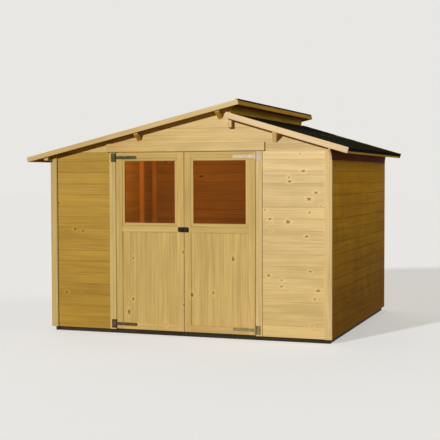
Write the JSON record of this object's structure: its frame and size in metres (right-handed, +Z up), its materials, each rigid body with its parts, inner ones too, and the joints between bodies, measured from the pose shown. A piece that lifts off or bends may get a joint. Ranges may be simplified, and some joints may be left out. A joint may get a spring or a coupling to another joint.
{
  "type": "wooden garden shed",
  "caption": "Timber panel shed with a stepped, uneven pitched felt roof and a glazed double door that swings outwards on strap hinges.",
  "frame": {"origin": "on the ground, under the middle of the roof's outline", "axes": "+Z up, -Y towards the front with the doors, +X to the right seen from the front"},
  "size_m": [3.42, 2.91, 2.3601],
  "materials": {
    "wall_wood": "oiled softwood boards, honey coloured",
    "trim_wood": "pale planed softwood",
    "door_wood": "oiled softwood, honey coloured",
    "frame_wood": "rough sawn softwood",
    "roof_wood": "softwood roof boards",
    "rake_wood": "pale planed softwood",
    "floor_wood": "softwood floor boards",
    "bearer_wood": "dark pressure-treated softwood",
    "roof_felt": "black bitumen roofing felt, matt",
    "window_glass": "clear window glass",
    "hinge_steel": "galvanised steel",
    "latch_steel": "black painted steel"
  },
  "bodies": {
    "shed": {"floor_bearers": "bearer_wood", "rim_bearers": "bearer_wood", "floor_deck": "floor_wood", "front_wall_left": "wall_wood", "front_wall_right": "wall_wood", "front_gable": "wall_wood", "back_wall": "wall_wood", "left_wall": "wall_wood", "right_wall": "wall_wood", "corner_posts": "frame_wood", "wall_studs": "frame_wood", "sole_rails": "frame_wood", "door_jamb_left": "trim_wood", "door_jamb_right": "trim_wood", "door_header": "frame_wood", "door_lintel_board": "trim_wood", "door_sill": "frame_wood", "corner_trims": "trim_wood", "wall_plate_left": "frame_wood", "wall_plate_right": "frame_wood", "purlin_left_mid": "frame_wood", "purlin_left_upper": "frame_wood", "purlin_right_upper": "frame_wood", "purlin_right_mid": "frame_wood", "roof_boards_left": "roof_wood", "roof_boards_right": "roof_wood", "roof_felt_left": "roof_felt", "roof_felt_right": "roof_felt", "front_rake_left": "rake_wood", "front_rake_right": "rake_wood", "back_rake_left": "rake_wood", "back_rake_right": "rake_wood", "high_edge_fascia": "rake_wood", "step_board": "rake_wood", "eave_boards": "rake_wood", "left_hinge_plates": "hinge_steel", "right_hinge_plates": "hinge_steel"},
    "left_door": {"left_door_frame": "door_wood", "left_door_boards": "door_wood", "left_window_bead": "door_wood", "left_door_glass": "window_glass", "left_hinge_straps": "hinge_steel", "latch_body": "latch_steel"},
    "right_door": {"right_door_frame": "door_wood", "right_door_boards": "door_wood", "right_window_bead": "door_wood", "right_door_glass": "window_glass", "right_hinge_straps": "hinge_steel", "latch_keep": "latch_steel"}
  },
  "joints": [
    {"name": "left_door_swing", "type": "hinge", "parent": "shed", "child": "left_door", "pos_m": [-0.734, -1.3515, 0.95], "axis": [0, 0, -1], "range_deg": [0, 165]},
    {"name": "right_door_swing", "type": "hinge", "parent": "shed", "child": "right_door", "pos_m": [0.766, -1.3515, 0.95], "axis": [0, 0, 1], "range_deg": [0, 165]}
  ]
}
